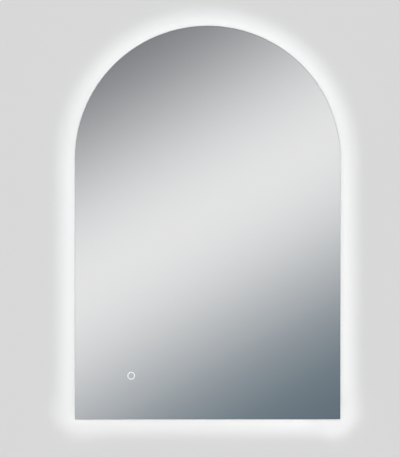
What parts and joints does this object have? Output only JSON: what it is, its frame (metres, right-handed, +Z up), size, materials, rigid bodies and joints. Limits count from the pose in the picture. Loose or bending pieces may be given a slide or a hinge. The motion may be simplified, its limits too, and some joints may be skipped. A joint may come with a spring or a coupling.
{
  "type": "lighted bathroom mirror",
  "caption": "Frameless arched wall mirror with square lower corners, a halo light in a channel frame behind the pane, a round touch switch mark and a rail that it lifts off.",
  "frame": {"origin": "midway between the wall rail's two screw slots, on the wall plane behind the rail", "axes": "+Z up, +X to the right of a person who faces the mirror, +Y into the wall"},
  "size_m": [0.6, 0.0405, 0.8889],
  "materials": {
    "mirror_glass": "polished float glass",
    "silver": "silvered, bright",
    "back_film": "satin safety film",
    "frame_aluminium": "satin anodised",
    "opal_diffuser": "opal, lit from behind",
    "foam_tape": "closed-cell foam tape",
    "tape_circuit": "white solder mask",
    "light_chip": "phosphor in a white package",
    "zinc_steel": "zinc plated sheet",
    "screw_steel": "zinc plated",
    "rubber": "soft matt",
    "heater_film": "thin polyester film",
    "heater_foil": "etched foil",
    "heater_cap": "moulded cap",
    "driver_plastic": "fine spark texture",
    "circuit_board": "green solder mask",
    "board_nylon": "natural nylon",
    "transformer": "taped winding on a ferrite core",
    "capacitor": "sleeved can",
    "heat_sink": "extruded",
    "box_plastic": "light grey moulding",
    "terminal_nylon": "natural polyamide",
    "brass": "tinned brass",
    "gland_nylon": "black nylon",
    "sensor_plastic": "black moulding",
    "electrode_foam": "conductive foam",
    "lead_sheath": "white PVC sheath",
    "earth_sheath": "green and yellow PVC",
    "core_insulation": "coloured PVC cores",
    "clip_plastic": "self-adhesive nylon clip"
  },
  "bodies": {
    "rail": {"wall_rail": "zinc_steel"},
    "mirror": {"mirror_glass": "mirror_glass", "silver_coat": "silver", "safety_film": "back_film", "frame_arch": "frame_aluminium", "frame_sill": "frame_aluminium", "diffuser_arch": "opal_diffuser", "diffuser_sill": "opal_diffuser", "bond_tape": "foam_tape", "plate_foam": "foam_tape", "light_tape_arch": "tape_circuit", "light_tape_sill": "tape_circuit", "light_chips_arch": "light_chip", "light_chips_sill": "light_chip", "sensor_lamps": "light_chip", "corner_brackets": "zinc_steel", "hanger_bar": "zinc_steel", "equipment_plate": "zinc_steel", "bracket_screws": "screw_steel", "hanger_screws": "screw_steel", "driver_mount_screws": "screw_steel", "driver_cover_screws": "screw_steel", "box_mount_screws": "screw_steel", "hinge_pin": "screw_steel", "earth_screw": "screw_steel", "earth_nut": "screw_steel", "wall_bumpers": "rubber", "gland_seal": "rubber", "lead_bushings": "rubber", "demister_film": "heater_film", "demister_track": "heater_foil", "demister_cap": "heater_cap", "driver_case": "driver_plastic", "driver_cover": "driver_plastic", "driver_board": "circuit_board", "sensor_board": "circuit_board", "board_spacers": "board_nylon", "light_ring": "board_nylon", "driver_transformer": "transformer", "driver_capacitors": "capacitor", "driver_heat_sink": "heat_sink", "connection_box": "box_plastic", "terminal_block": "terminal_nylon", "terminal_screws": "brass", "earth_tag": "brass", "gland_body": "gland_nylon", "gland_locknut": "gland_nylon", "gland_dome_nut": "gland_nylon", "sensor_case": "sensor_plastic", "touch_electrode": "electrode_foam", "mains_lead": "lead_sheath", "sensor_lead": "lead_sheath", "light_lead": "lead_sheath", "demister_lead": "lead_sheath", "earth_lead": "earth_sheath", "core_wires": "core_insulation", "lead_clip": "clip_plastic"},
    "lid": {"box_lid": "box_plastic", "lid_screw": "screw_steel"}
  },
  "joints": [
    {"name": "lift_off", "type": "slide", "parent": "rail", "child": "mirror", "axis": [0, 0, 1], "range_m": [0, 0.02]},
    {"name": "lid_hinge", "type": "hinge", "parent": "mirror", "child": "lid", "pos_m": [0.1153, -0.0095, -0.5403], "axis": [1, 0, 0], "range_deg": [0, 100]}
  ]
}
